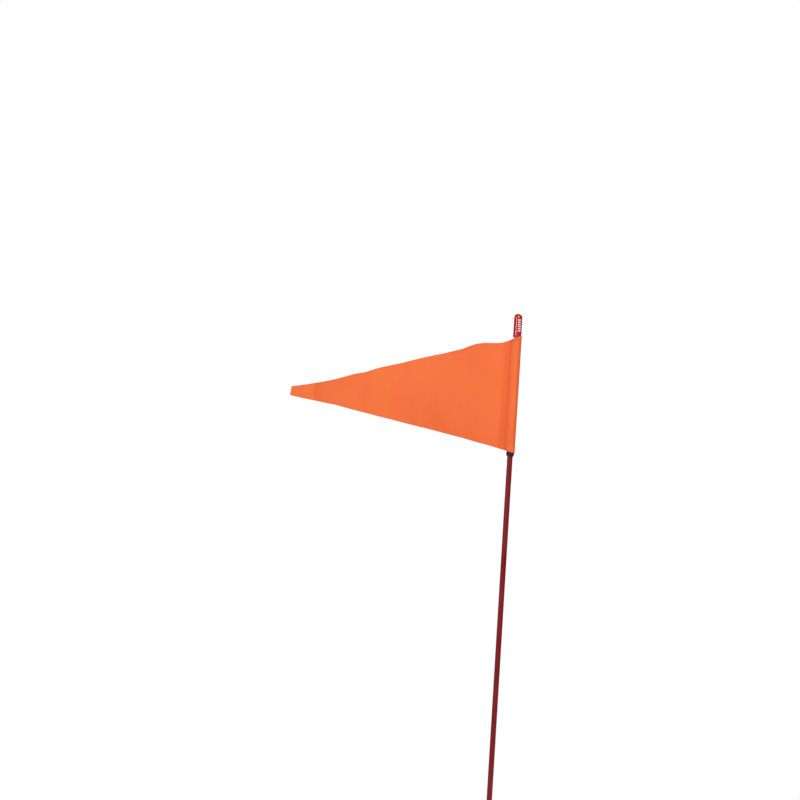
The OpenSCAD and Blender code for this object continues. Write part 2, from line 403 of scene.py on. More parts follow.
def thread_material():
    """Twisted polyester sewing thread."""
    n = Nodes("stitch_thread")
    place = n.object_place()
    twist = n.add("ShaderNodeTexWave", {"Vector": place, "Scale": 900.0, "Distortion": 0.6},
                  bands_direction="DIAGONAL").outputs["Fac"]
    fibre = n.noise(place, 2600.0, detail=1.0)
    base = n.mix(twist, rgb(222, 84, 34), rgb(246, 118, 62))
    base = n.mix(n.map_range(fibre, 0.35, 0.7, 0.0, 0.25), base, rgb(250, 150, 100))
    return n.set(Base_Color=base, Roughness=n.map_range(fibre, 0.3, 0.7, 0.45, 0.65),
                 Normal=n.bump(twist, 0.00006, 0.7), Sheen_Weight=0.2)


def rod_material():
    """Dark red extruded vinyl with faint draw lines and handling marks."""
    n = Nodes("rod_vinyl")
    place = n.object_place()
    draw = n.noise(n.scaled(place, (900, 900, 6)), 1.0, detail=3.0, roughness=0.6)
    blotch = n.noise(n.scaled(place, (60, 60, 22)), 1.0, detail=3.0)
    scuff = n.noise(n.scaled(place, (420, 420, 160)), 1.0, detail=4.0, roughness=0.7)
    base = n.mix(n.map_range(blotch, 0.35, 0.65, 0.0, 1.0), rgb(132, 20, 26), rgb(146, 29, 35))
    base = n.mix(n.map_range(draw, 0.4, 0.75, 0.0, 0.35), base, rgb(108, 18, 26))
    marks = n.map_range(scuff, 0.66, 0.76, 0.0, 0.30)
    base = n.mix(marks, base, rgb(166, 80, 82))
    rough = n.math("ADD", n.map_range(blotch, 0.3, 0.7, 0.30, 0.42), n.math("MULTIPLY", marks, 0.6))
    return n.set(Base_Color=base, Roughness=rough, Normal=n.bump(draw, 0.00005, 0.5),
                 Specular_IOR_Level=0.3)


def cap_material():
    """Glossy red dip-moulded vinyl, slightly translucent, with runs down its length."""
    n = Nodes("cap_vinyl")
    place = n.object_place()
    runs = n.noise(n.scaled(place, (330, 330, 45)), 1.0, detail=2.0)
    tone = n.noise(place, 95.0, detail=3.0)
    speck = n.noise(place, 1500.0, detail=2.0)
    base = n.mix(n.map_range(tone, 0.35, 0.65, 0.0, 1.0), rgb(178, 18, 24), rgb(198, 32, 36))
    base = n.mix(n.map_range(speck, 0.66, 0.78, 0.0, 0.4), base, rgb(140, 16, 22))
    return n.set(Base_Color=base, Roughness=n.map_range(tone, 0.3, 0.7, 0.20, 0.28), IOR=1.5,
                 Normal=n.bump(runs, 0.00004, 0.3), Subsurface_Weight=0.08,
                 Subsurface_Radius=(0.003, 0.0008, 0.0006), Coat_Weight=1.0, Coat_Roughness=0.1)


def mark_material():
    """White ink, a little worn, so that some red shows through."""
    n = Nodes("mark_print")
    place = n.object_place()
    wear = n.noise(place, 1100.0, detail=4.0, roughness=0.7)
    base = n.mix(n.map_range(wear, 0.58, 0.70, 0.0, 0.7), rgb(238, 228, 232), rgb(206, 110, 112))
    return n.set(Base_Color=base, Roughness=n.map_range(wear, 0.3, 0.7, 0.35, 0.55),
                 Normal=n.bump(wear, 0.00003, 0.5))


def rubber_material():
    """Black moulded rubber with a dusty bloom."""
    n = Nodes("ring_rubber")
    place = n.object_place()
    grain = n.noise(place, 1800.0, detail=3.0)
    bloom = n.noise(place, 260.0, detail=3.0)
    base = n.mix(n.map_range(bloom, 0.45, 0.75, 0.0, 0.5), rgb(30, 20, 22), rgb(64, 53, 54))
    return n.set(Base_Color=base, Roughness=n.map_range(bloom, 0.3, 0.7, 0.48, 0.70),
                 Normal=n.bump(grain, 0.00008, 0.6), Specular_IOR_Level=0.4)


def metal_material(name, tint, dull, rough_low, rough_high, turned=True):
    """Plated steel: turning lines round the axis, small blotches and handling marks."""
    n = Nodes(name)
    place = n.object_place()
    lines = n.noise(n.scaled(place, (40, 40, 5200) if turned else (300, 300, 300)), 1.0, detail=3.0)
    blotch = n.noise(place, 130.0, detail=4.0, roughness=0.6)
    scratch = n.noise(n.scaled(place, (500, 3000, 900)), 1.0, detail=2.0)
    base = n.mix(n.map_range(blotch, 0.4, 0.7, 0.0, 0.7), tint, dull)
    rough = n.map_range(blotch, 0.3, 0.7, rough_low, rough_high)
    rough = n.math("ADD", rough, n.map_range(scratch, 0.6, 0.75, 0.0, 0.12))
    height = n.math("ADD", n.math("MULTIPLY", lines, 0.6), n.math("MULTIPLY", scratch, 0.2))
    return n.set(Base_Color=base, Metallic=1.0, Roughness=rough, Normal=n.bump(height, 0.00004, 0.4))


def fibreglass_material():
    """Pultruded glass fibre: fine lengthwise strands in resin."""
    n = Nodes("fibreglass")
    place = n.object_place()
    strands = n.noise(n.scaled(place, (2600, 2600, 8)), 1.0, detail=2.0)
    base = n.mix(strands, rgb(196, 190, 150), rgb(226, 222, 196))
    return n.set(Base_Color=base, Roughness=n.map_range(strands, 0.3, 0.7, 0.4, 0.6),
                 Normal=n.bump(strands, 0.00006, 0.6))


def epoxy_material():
    """Cured adhesive, amber and slightly bubbly."""
    n = Nodes("epoxy")
    bubbles = n.noise(n.object_place(), 900.0, detail=3.0)
    base = n.mix(n.map_range(bubbles, 0.4, 0.7, 0.0, 1.0), rgb(176, 126, 54), rgb(206, 160, 88))
    return n.set(Base_Color=base, Roughness=n.map_range(bubbles, 0.3, 0.7, 0.2, 0.4),
                 Normal=n.bump(bubbles, 0.0001, 0.5))


# ---------------------------------------------------------------- flag


def resampled(points, count):
    """Points spaced evenly along a line through the given points."""
    points = np.array(points)
    reach = np.concatenate([[0], np.cumsum(np.linalg.norm(np.diff(points, axis=0), axis=1))])
    wanted = np.linspace(0, reach[-1], count)
    return np.stack([np.interp(wanted, reach, points[:, k]) for k in (0, 1)], axis=1)


def tube_half(round_r, steps):
    """Half of the loop round the rod seen from above, drawn tight over a soft square of half width
    round_r: from where the two layers meet to the folded edge, on the +Y side."""
    fold_r = 0.8
    fold_centre = FOLD_X - CLOTH_T / 2 - fold_r
    around = 120
    points = [(MEET_X, LAYER_GAP / 2), (MEET_X, -LAYER_GAP / 2)]
    for k in range(around):
        a = 2 * math.pi * k / around
        square = (abs(math.cos(a)) ** SOFTNESS + abs(math.sin(a)) ** SOFTNESS) ** (-1 / SOFTNESS)
        points.append((round_r * square * math.cos(a), round_r * square * math.sin(a)))
        points.append((fold_centre + fold_r * math.cos(a), fold_r * math.sin(a)))
    hull = [points[i] for i in convex_hull_2d(points)]
    upper = sorted(p for p in hull if p[1] >= 0)
    if upper[-1][1] > 0:
        upper.append((FOLD_X - CLOTH_T / 2, 0.0))
    return resampled(upper, steps)


def sleeve_line(round_r):
    """The folded cloth's middle line seen from above, where it passes the rod at radius round_r:
    from the hem behind the seam, round the rod and the folded edge, to the seam in front."""
    seam_x = FOLD_X - SLEEVE_W
    half_gap = LAYER_GAP / 2
    back = line((seam_x - HEM_W, half_gap), (seam_x, half_gap), 6)
    back += line((seam_x, half_gap), (MEET_X, half_gap), 4)
    back += [tuple(p) for p in tube_half(round_r, 30)]
    front = [(x, -y) for x, y in reversed(back[:-1]) if x > seam_x - 0.01]
    return np.array(back + front)


def eased(share):
    """A smooth step from 0 to 1."""
    share = np.clip(share, 0, 1)
    return share * share * (3 - 2 * share)


def sleeve_radius(z):
    """Radius at which the cloth passes the rod: it opens over the cap above and round the ring below."""
    snug = ROD_R + SNUG_FIT + CLOTH_T / 2
    over_cap = CAP_HIGH[0] + FLARE_FIT + CLOTH_T / 2
    over_ring = RING_HIGH[0] + FLARE_FIT + CLOTH_T / 2
    up = eased((z - (CAP_LOW[2] - FLARE_START)) / FLARE_LEN)
    down = eased((RING_HIGH[2] + FLARE_START - z) / FLARE_LEN)
    return snug + (over_cap - snug) * up + (over_ring - snug) * down


def seam_pucker(z):
    """The cloth's small gathers along the seam, at height z."""
    return sum(height * smooth_noise(z / spacing, row, 0.0) for height, spacing, row in PUCKERS)


def set_back(u):
    """How far the flag hangs behind the middle of the rod."""
    return HANG_BACK * (1 - math.exp(-max(0.0, u - HANG_FROM) / HANG_REACH))


def panel_lift(u, z):
    """How far the single cloth stands off the plane of the rod at (u, z)."""
    far = min(1.0, max(0.0, (u - SLEEVE_W - HEM_W) / (FLY - SLEEVE_W - HEM_W)))
    up = (z - FLAG_MID) / HOIST
    broad = BROAD_H * smooth_noise(u / 70, z / 52, 1.7)
    fine = FINE_H * smooth_noise(u / 23, z / 19, 5.2)
    lift = WAVE_H * far * math.sin(2 * math.pi * (WAVE_TURNS * far + WAVE_SLANT * up))
    lift += far ** 0.5 * (broad + fine)
    for crease_u, depth in CREASES:
        fade = max(0.0, 0.75 + 1.1 * smooth_noise(z / 45, crease_u, 0.0))
        lift -= depth * fade * math.exp(-abs(u - crease_u) / CREASE_REACH)
    if u < TAB_CREASE:
        lift += KICK_H * math.exp(-(TAB_CREASE - u) / KICK_REACH)
    else:
        lift += KICK_H - TAB_SLOPE * (u - TAB_CREASE)
    from_seam = max(0.0, u - SLEEVE_W)
    lift += seam_pucker(z) * math.exp(-from_seam / PUCKER_REACH)
    low_edge = max(0.0, z - lower_edge(u))
    lift += CURL_H * math.exp(-low_edge / CURL_REACH) * far ** 0.3
    edge = min(abs(upper_edge(u) - z), low_edge)
    ripple = RIPPLE_H * math.exp(-edge / RIPPLE_REACH) * smooth_noise(u / 19, 12.3, 0.4)
    return lift + ripple * min(1, from_seam / 25)


def sleeve_slack(x, y, z):
    """Outward slack in the sleeve, away from the rod, with more of it near the folded edge."""
    near_fold = math.exp(-abs(x - FOLD_X) / 4)
    slack = 0.22 + 0.30 * smooth_noise(x / 6, z / 14, 2.0 + 0.1 * y)
    return max(0.0, slack + 0.35 * near_fold * smooth_noise(1.5, z / 11, 6.0))


def row_shares():
    """Where a column's points lie between the lower and the upper edge, closer together at the edges."""
    edge = np.array(EDGE_STEPS) / HOIST
    inner = np.linspace(edge[-1], 1 - edge[-1], FLAG_ROWS + 2)[1:-1]
    return np.concatenate([edge, inner, 1 - edge[::-1]])


def height_at(u, share):
    """Height of a point that lies a given share of the way from the lower to the upper edge."""
    return lower_edge(u) + share * (upper_edge(u) - lower_edge(u))


def sleeve_point(station, share, plan_u, radii, lines):
    """A point of the folded cloth, opened to the sleeve's radius at its height."""
    radius = sleeve_radius(height_at(plan_u, share))
    x, y = (np.interp(radius, radii, lines[:, station, k]) for k in (0, 1))
    u = FOLD_X - x
    z = height_at(u, share)
    outward = math.hypot(x, y)
    slack = sleeve_slack(x, y, z) * min(1, max(0, (x - MEET_X) / 5))
    x = min(x + slack * x / outward, FOLD_X - CLOTH_T / 2)
    # The folded edge draws in slightly towards its lower end
    x -= 0.35 * (1 - (z - FLAG_BOTTOM) / HOIST) * math.exp(-(FOLD_X - x) / 2)
    y += slack * y / outward
    y += seam_pucker(z) * math.exp(-max(0, SLEEVE_W - u) / 4)
    y += set_back(u)
    return x, y, z


def panel_point(x, y, share):
    """A point of the single cloth beyond the sleeve, with the tip's cut slanted."""
    u = FOLD_X - x
    z = height_at(u, share)
    x += TIP_SLANT * (share - 0.5) * hump(u, FLY - 40, 80)
    y += panel_lift(u, z) + set_back(u)
    return x, y, z


def flag_grid():
    """The cloth's middle surface as a grid of stations along it and rows up it, with the distance
    along the cloth to each station and each point's distance to the nearest cut edge."""
    openings = 30
    radii = np.linspace(sleeve_radius(FLAG_MID), CAP_HIGH[0] + 0.5, openings)
    lines = np.array([sleeve_line(r) for r in radii])
    snug = lines[0]
    folded = len(snug)
    seam_x = FOLD_X - SLEEVE_W
    panel_x = seam_x + (FOLD_X - FLY - seam_x) * np.arange(1, PANEL_STEPS + 1) / PANEL_STEPS
    panel = np.stack([panel_x, np.full(PANEL_STEPS, -LAYER_GAP / 2)], axis=1)
    plan = np.concatenate([snug, panel])
    shares = row_shares()
    grid = np.zeros((len(plan), len(shares), 3))
    for i, (x, y) in enumerate(plan):
        u = FOLD_X - x
        wander = 0.3 * smooth_noise(u / 24, 4.4, 9.0)
        for j, share in enumerate(shares):
            if i < folded:
                grid[i, j] = sleeve_point(i, share, u, radii, lines)
            else:
                grid[i, j] = panel_point(x, y, share)
            grid[i, j, 2] += wander
    along = np.concatenate([[0], np.cumsum(np.linalg.norm(np.diff(plan, axis=0), axis=1))])
    height = upper_edge(FOLD_X - plan[:, 0]) - lower_edge(FOLD_X - plan[:, 0])
    to_edge = np.minimum(shares, 1 - shares)[None, :] * height[:, None]
    to_edge = np.minimum(to_edge, np.minimum(along, along[-1] - along)[:, None])
    return grid, folded, along, to_edge


def thick_sheet(name, grid, half_thickness):
    """A closed thin sheet round a grid of middle points."""
    rows, columns = grid.shape[:2]
    normal = np.cross(np.gradient(grid, axis=0), np.gradient(grid, axis=1))
    normal /= np.linalg.norm(normal, axis=2, keepdims=True)
    offset = normal * half_thickness[:, :, None]
    points = np.concatenate([(grid + offset).reshape(-1, 3), (grid - offset).reshape(-1, 3)])
    return add_mesh(name, points, slab_faces(rows, columns))


def point_values(mesh, name, values):
    """Stores one number for each point of a thick sheet, the same on both of its faces."""
    layer = mesh.attributes.new(name, "FLOAT", "POINT")
    layer.data.foreach_set("value", np.tile(values.ravel(), 2).astype(np.float32))


def bell(value, centre, width):
    """A smooth bump of height 1 at the centre."""
    return np.exp(-((value - centre) / width) ** 2)


def painted_fold_shade(u, z):
    """How much painted shade darkens the cloth at (u, z): the shading of its folds, its seam and its hems.
    """
    low = np.clip((z - lower_edge(u)) / (upper_edge(u) - lower_edge(u)), 0, 1)
    below_top = np.maximum(upper_edge(u) - z, 0)
    # Painted shade beside the tab's fold
    tone = 0.42 * np.exp(-np.abs(TAB_CREASE - u) / 22) * (u < TAB_CREASE)
    # Painted shade in three soft upright folds, two of them fading upwards
    tone += 0.26 * bell(u, 142, 20) * np.clip(1.3 - 1.4 * low, 0, 1)
    tone += 0.20 * bell(u, 268, 9)
    tone += 0.16 * bell(u, 182, 5) * np.clip(1.6 - 2 * low, 0, 1)
    # Painted shade low down on the half nearer the rod
    tone += 0.22 * np.clip(1 - 2.2 * low, 0, 1) * np.clip((215 - u) / 40, 0, 1)
    # Painted shade along the seam's valley and on the sleeve's rounded front
    tone += (0.18 + 0.22 * np.clip(1 - 1.5 * low, 0, 1)) * bell(u, 24, 8)
    tone += 0.22 * bell(u, 6, 3.5)
    # Painted shade along the upper hem
    tone += 0.45 * bell(u, 95, 18) * bell(below_top, 0, 7)
    tone += 0.18 * np.exp(-below_top / 2.5) * hump(u, 30, 300)
    return tone


def cloth_place(mesh, along, heights):
    """Stores each corner's place on the flat cloth, in metres, as the UV map that the weave follows."""
    place = np.stack([np.broadcast_to(along[:, None], heights.shape), heights], axis=2).reshape(-1, 2)
    uv = mesh.uv_layers.new(name="cloth")
    corners = np.zeros(len(mesh.loops), int)
    mesh.loops.foreach_get("vertex_index", corners)
    uv.data.foreach_set("uv", (np.tile(place, (2, 1))[corners] * MM).astype(np.float32).ravel())


def flag_piece():
    """The whole flag, one cloth folded round the rod and sewn to itself, as a thin closed sheet,
    with the size and the area that it was cut to."""
    grid, folded, along, to_edge = flag_grid()
    bead = np.interp(to_edge, EDGE_STEPS, EDGE_BEAD)
    piece = thick_sheet("flag_cloth", grid, CLOTH_T / 2 * bead)
    mesh = piece.data
    u = FOLD_X - grid[:, :, 0]
    single = (np.arange(len(grid)) >= folded)[:, None]
    # Painted highlight along the creases of the single cloth
    painted_crease_highlight = sum(bell(u, centre, 1.6) for centre, _ in (*CREASES, (TAB_CREASE, 1))) * single
    # Painted shade on the doubled strip along the seam, for its valley's shadow and the light that passes
    # through it less
    two_ply_painted_shade = np.clip((u - 14) / 4, 0, 1) * np.clip((SLEEVE_W + HEM_W + 1 - u) / 2, 0, 1)
    point_values(mesh, "edge", np.exp(-to_edge / 0.9))
    point_values(mesh, "painted_crease_highlight", painted_crease_highlight)
    point_values(mesh, "painted_ply_shade", two_ply_painted_shade)
    # The tone attribute carries the painted shade of the folds, the seam and the hems
    point_values(mesh, "tone", painted_fold_shade(u, grid[:, :, 2]))
    cloth_place(mesh, along, grid[:, :, 2])
    heights = grid[:, -1, 2] - grid[:, 0, 2]
    flat_area = np.sum((heights[1:] + heights[:-1]) / 2 * np.diff(along))
    return piece, (HOIST * MM, along[-1] * MM), flat_area * MM * MM


def stitch_points(x, y, z, side):
    """One lockstitch: a short thread that rises out of the cloth and dips back into it."""
    rings, sides = 7, 8
    points = []
    for i in range(rings):
        t = i / (rings - 1)
        swell = math.sin(math.pi * (0.08 + 0.84 * t)) ** 0.5
        lift = 0.16 * math.sin(math.pi * t) - 0.10
        for k in range(sides):
            a = 2 * math.pi * k / sides
            points.append((x + STITCH_R * swell * math.cos(a),
                           y + side * (lift + 0.8 * STITCH_R * swell * math.sin(a)),
                           z + STITCH_LEN * (t - 0.5) + 0.12 * (t - 0.5) * math.cos(a)))
    faces = grid_faces(rings, sides, wrap_columns=True) + end_discs(rings, sides)
    if side < 0:
        faces = [tuple(reversed(face)) for face in faces]
    return points, faces


def stitching_piece():
    """Two rows of lockstitches on each face of the sleeve's seam, half a stitch apart back and front."""
    points, faces = [], []
    end_gap = 2.2
    surface = LAYER_GAP / 2 + CLOTH_T / 2
    for row in STITCH_ROWS:
        u = SLEEVE_W + row
        low, high = lower_edge(u) + end_gap, upper_edge(u) - end_gap
        count = int((high - low) / STITCH_PITCH)
        for k in range(count):
            z = low + (k + 0.5) * (high - low) / count
            front = (panel_lift(u, z) + set_back(u) - surface, z, -1)
            back = (seam_pucker(z) + set_back(u) + surface, z + 0.5 * STITCH_PITCH, 1)
            for y, stitch_z, side in (front, back):
                made, quads = stitch_points(FOLD_X - u, y, stitch_z, side)
                faces += [tuple(v + len(points) for v in f) for f in quads]
                points += made
    return add_mesh("sleeve_stitches", points, faces)


# ---------------------------------------------------------------- cap, rod and ring


def cap_radius(z):
    """Outer radius of the cap's slightly tapered wall at height z."""
    share = (z - CAP_LOW[2]) / (CAP_HIGH[2] - CAP_LOW[2])
    return CAP_HIGH[0] - 0.36 * share


def cap_wobble(angle, z):
    """Slight unevenness of the cap's moulded wall."""
    return 0.10 * smooth_noise(1.3 * math.cos(angle), 1.3 * math.sin(angle), z / 13)


def cap_piece():
    """Push-on cap: a soft wall with a rolled lip, a round dome and a small dip-moulding pip."""
    low, high = CAP_LOW[2], CAP_HIGH[2]
    inner = ROD_R + 0.05
    inner_lip, outer_lip = 0.5, 0.7
    dome = 7.05
    dome_z = high - dome
    roof = JACKET_HIGH[2] + 0.3
    axis_r = 0.12
    profile = [(axis_r, roof + 0.01), (inner - 0.6, roof + 0.01)]
    profile += line((inner, roof), (inner, low + 0.6), 12)
    profile += arc(inner + inner_lip, low + inner_lip, inner_lip, 180, 270, 4)
    profile += arc(CAP_HIGH[0] - outer_lip, low + outer_lip, outer_lip, -90, 0, 5)
    profile += [(cap_radius(low + 2.2) - 0.16, low + 2.4)]
    profile += line((cap_radius(low + 3) - 0.14, low + 3.2), (dome, dome_z), 26)
    profile += arc(0, dome_z, dome, 0, 86, 16)
    profile += [(0.32, high - 0.02), (axis_r, high)]

    def soften(angle, radius, z):
        if radius < inner + 0.4 or z > high - 2:
            return radius, z
        return radius + cap_wobble(angle, z) - 0.03, z

    points, faces = revolve(profile, 72, soften, open_line=True)
    return add_mesh("tip_cap_skin", points, faces)


def mark_piece():
    """Six plain printed bars up the cap's side: a generic mark with no lettering."""
    bars = 6
    turn, sweep = math.radians(-90 + 21), math.radians(42)
    first_z, pitch, height = CAP_LOW[2] + 10.5, 3.8, 2.2
    wide, tall = 14, 5
    ink_bottom, ink_top = 0.02, 0.11
    points, faces = [], []
    for bar in range(bars):
        start = len(points)
        for layer in (ink_bottom, ink_top):
            for j in range(tall):
                z = first_z + bar * pitch + height * j / (tall - 1)
                for i in range(wide):
                    angle = turn + sweep * (i / (wide - 1) - 0.5)
                    ragged = 0.10 * smooth_noise(angle * 9, z * 1.9, bar)
                    radius = cap_radius(z) - 0.14 + cap_wobble(angle, z) + layer
                    points.append((radius * math.cos(angle), radius * math.sin(angle), z + ragged))
        faces += slab_faces(tall, wide, first=start)
    return add_mesh("cap_mark_bars", points, faces)


def rod_piece():
    """The rod's extruded skin: a long tube with slight unevenness along its length."""
    low, high = JACKET_LOW[2], JACKET_HIGH[2]
    edge = 0.25
    rings = 150
    profile = line((ROD_R, low + edge), (ROD_R, high - edge), rings)
    profile += [(ROD_R, high - edge), (ROD_R - edge, high), (CORE_R + 0.02, high)]
    profile += [(CORE_R + 0.02, low), (ROD_R - edge, low)]

    def uneven(angle, radius, z):
        if radius < ROD_R - 0.01:
            return radius, z
        return radius - 0.02 + 0.02 * smooth_noise(math.cos(angle), math.sin(angle), z / 40), z

    points, faces = revolve(profile, 48, uneven)
    return add_mesh("rod_skin", points, faces)


def ring_piece():
    """Rubber ring under the flag: tapered foot, rounded top, a fine moulding line, and a slight lean."""
    bore = ROD_R + 0.05
    outer, foot = RING_HIGH[1], 5.7
    half = 4.0
    foot_edge, top_edge = 0.35, 0.95
    line_z = 0.6
    profile = line((bore, half - 0.5), (bore, 0.3 - half), 6)
    profile += [(bore + 0.15, -half)]
    profile += arc(foot - foot_edge, foot_edge - half, foot_edge, -90, -30, 3)
    profile += line((foot + 0.1, 0.6 - half), (outer - 0.12, 2.5 - half), 5)
    profile += [(outer - 0.04, 2.9 - half), (outer - 0.06, line_z - 0.22), (outer, line_z - 0.06),
                (outer, line_z + 0.06), (outer - 0.06, line_z + 0.22)]
    profile += arc(outer - top_edge, half - top_edge, top_edge, 0, 90, 6)
    profile += [(bore + 0.35, half)]

    def squeeze(angle, radius, z):
        if radius < bore + 0.2:
            return radius, z
        return radius + 0.06 * smooth_noise(math.cos(angle), math.sin(angle), z / 6) - 0.03, z

    points, faces = revolve(profile, 64, squeeze)
    middle_z = (RING_LOW[2] + RING_HIGH[2]) / 2
    tilt = math.radians(RING_TILT_DEG)
    leaned = []
    for x, y, z in points:
        radius = math.hypot(x, y)
        share = min(1, max(0, (radius - bore) / 0.5))
        lean_x = x + share * z * math.sin(tilt)
        away = max(bore, math.hypot(lean_x, y)) / math.hypot(lean_x, y)
        leaned.append((lean_x * away, y * away, middle_z + z * math.cos(tilt) - x * math.sin(tilt)))
    return add_mesh("rubber_ring", leaned, faces)


# ---------------------------------------------------------------- base


def crimp(body, z):
    """Profile of one rolled groove in a body of the given radius, from height z up."""
    return [(body, z - 0.45), (body - 0.12, z - 0.1), (body - 0.42, z + 0.35), (body - 0.5, z + 0.8),
            (body - 0.42, z + 1.25), (body - 0.12, z + 1.7), (body, z + 2.05)]


def ferrule_piece():
    """Turned and crimped base: chamfered hexagon, knurled grip, crimp grooves and a tapered neck."""
    low, high = FERRULE_LOW[2], FERRULE_HIGH[2]
    across = FERRULE_HIGH[1] - FERRULE_LOW[1]
    corner = FERRULE_HIGH[0]
    body, hex_h = 7.0, 11.0
    neck = ROD_R + 0.7
    knurl_low, knurl_high = 38.0, 44.5
    knurl_teeth, knurl_pitch, knurl_depth = 36, 1.2, 0.24
    flat = across / 2 - 0.3
    hex_top = low + hex_h
    profile = [(STUD_R + 0.02, low + 0.5), (STUD_R + 0.5, low), (flat, low)]
    profile += [(corner, low + 0.9)]
    profile += line((corner, low + 1.4), (corner, hex_top - 1.4), 4)
    profile += [(corner, hex_top - 1.4), (corner, hex_top - 0.9), (flat, hex_top)]
    profile += [(body - 1, hex_top + 0.05), (body - 1, hex_top + 0.9), (body - 0.25, hex_top + 1.7)]
    profile += [(body, hex_top + 2.1)]
    for groove_z in (20, 26, 32):
        profile += crimp(body, groove_z)
    profile += [(body, knurl_low - 0.2)]
    profile += line((body, knurl_low), (body, knurl_high), 44)
    profile += [(body, high - 8.3), (body - 0.08, high - 7.8)]
    profile += line((body - 0.15, high - 7.4), (neck, high - 0.6), 5)
    profile += arc(neck - 0.4, high - 0.4, 0.4, 15, 90, 4)
    profile += [(CORE_R + 0.25, high), (CORE_R + 0.25, low + 12), (STUD_R + 0.02, low + 10)]

    def shape(angle, radius, z):
        if radius > body + 0.01:
            return min(radius, hexagon_radius(angle, across)), z
        if knurl_low < z < knurl_high and radius > body - 0.01:
            turns = knurl_teeth * angle / (2 * math.pi)
            rise = (z - knurl_low) / knurl_pitch
            diamond = abs((turns + rise) % 1 - 0.5) + abs((turns - rise) % 1 - 0.5)
            return radius - 0.04 - knurl_depth * diamond, z
        return radius, z

    points, faces = revolve(profile, 288, shape)
    return add_mesh("ferrule_body", points, faces)


def thread_depth(angle, z):
    """Depth of a right-hand 60 degree thread below its crest."""
    phase = (z / THREAD_PITCH - angle / (2 * math.pi)) % 1
    depth = 0.613 * THREAD_PITCH
    return depth * min(1, max(0, 2.3 * (0.5 - abs(phase - 0.5)) - 0.14))


def stud_piece():
    """Threaded stud: full thread below the shoulder, chamfered end, plain stretch in the ferrule."""
    low, high = STUD_LOW[2], STUD_HIGH[2]
    profile = [(0.3, low), (STUD_R - 1.3, low), (STUD_R - 1.2, low)]
    profile += line((STUD_R - 1.1, low + 0.1), (STUD_R, low + 1.2), 10)
    profile += line((STUD_R, low + 1.2), (STUD_R, -0.6), 230)
    profile += [(STUD_R - 0.45, -0.3), (STUD_R - 0.45, 0.3), (STUD_R, 0.8), (STUD_R, high), (0.3, high)]

    def threaded(angle, radius, z):
        if z > -0.35 or radius < 1:
            return radius, z
        fade = min(1, (-0.35 - z) / 0.8)
        return min(radius, STUD_R - 0.03 - fade * thread_depth(angle, z)), z

    points, faces = revolve(profile, 72, threaded, open_line=True)
    return add_mesh("stud_thread", points, faces)


def nut_piece():
    """Hexagon nut with chamfered corners, countersunk bore and a washer face."""
    low, high = NUT_LOW[2], NUT_HIGH[2]
    across = NUT_HIGH[1] - NUT_LOW[1]
    corner, bore = NUT_HIGH[0], STUD_R + 0.06
    flat = across / 2 - 0.35
    profile = [(bore, high - 0.7), (bore, low + 0.7), (bore + 0.55, low), (flat - 0.2, low)]
    profile += line((flat, low + 0.02), (corner, low + 0.85), 4)
    profile += line((corner, low + 0.85), (corner, high - 0.85), 5)
    profile += line((corner, high - 0.85), (flat, high - 0.02), 4)
    profile += [(flat, high - 0.02), (flat - 0.2, high), (bore + 0.55, high)]

    def shape(angle, radius, z):
        if radius > flat + 0.01:
            return min(radius, hexagon_radius(angle, across)), z
        return radius, z

    points, faces = revolve(profile, 144, shape)
    return add_mesh("nut_body", points, faces)


def washer_piece():
    """Split lock washer: a square wire coiled through not quite a turn, its sharp ends sprung apart."""
    low, high = WASHER_LOW[2], WASHER_HIGH[2]
    inner, outer = STUD_R + 0.14, WASHER_HIGH[1]
    spring = 0.22
    thick = high - low - 0.25
    gap, cut_slant = math.radians(8), math.radians(7)
    steps, soft = 96, 0.22
    section = arc(outer - soft, high - soft, soft, 0, 90, 3)
    section += arc(inner + soft, high - soft, soft, 90, 180, 3)
    section += arc(inner + soft, high - thick + soft, soft, 180, 270, 3)
    section += arc(outer - soft, high - thick + soft, soft, 270, 360, 3)
    points = []
    for k in range(steps + 1):
        t = k / steps
        for radius, z in section:
            slant = cut_slant * (z - (low + high) / 2) / thick
            angle = gap / 2 + (2 * math.pi - gap) * t + slant
            rise = spring * (t - 1)
            points.append((radius * math.cos(angle), radius * math.sin(angle), z + rise))
    faces = grid_faces(steps + 1, len(section), wrap_columns=True, flip=True)
    faces.append(tuple(range(len(section))))
    faces.append(tuple(reversed(range(steps * len(section), (steps + 1) * len(section)))))
    return add_mesh("lock_washer_coil", points, faces)


# ---------------------------------------------------------------- camera, light and floor

# The whip's lean in the picture, the width seen at the whip in metres, and the middle of the picture (x, z)
POLE_LEAN_DEG = 3.45
FRAME_WIDTH = 1.400
FRAME_CENTRE = (-0.1980, 1.0555)
LENS, SENSOR = 85.0, 36.0


def make_camera():
    """A level camera in front of the flag, rolled by the whip's lean in the picture."""
    camera = bpy.data.objects.new("camera", bpy.data.cameras.new("camera"))
    bpy.context.scene.collection.objects.link(camera)
    camera.data.lens = LENS
    camera.data.sensor_width = SENSOR
    distance = FRAME_WIDTH * LENS / SENSOR
    roll = Matrix.Rotation(math.radians(POLE_LEAN_DEG), 4, "Z")
    upright = Matrix.Rotation(math.radians(90), 4, "X")
    place = Matrix.Translation((FRAME_CENTRE[0], -distance, FRAME_CENTRE[1]))
    camera.matrix_world = place @ upright @ roll
    bpy.context.scene.camera = camera


def area_light(name, place, target, size, power):
    """A soft rectangular light at a place, turned towards its target."""
    light = bpy.data.objects.new(name, bpy.data.lights.new(name, "AREA"))
    bpy.context.scene.collection.objects.link(light)
    light.data.shape = "RECTANGLE"
    light.data.size, light.data.size_y = size
    light.data.energy = power
    light.location = place
    light.rotation_euler = (Vector(target) - Vector(place)).to_track_quat("-Z", "Y").to_euler()
    return light


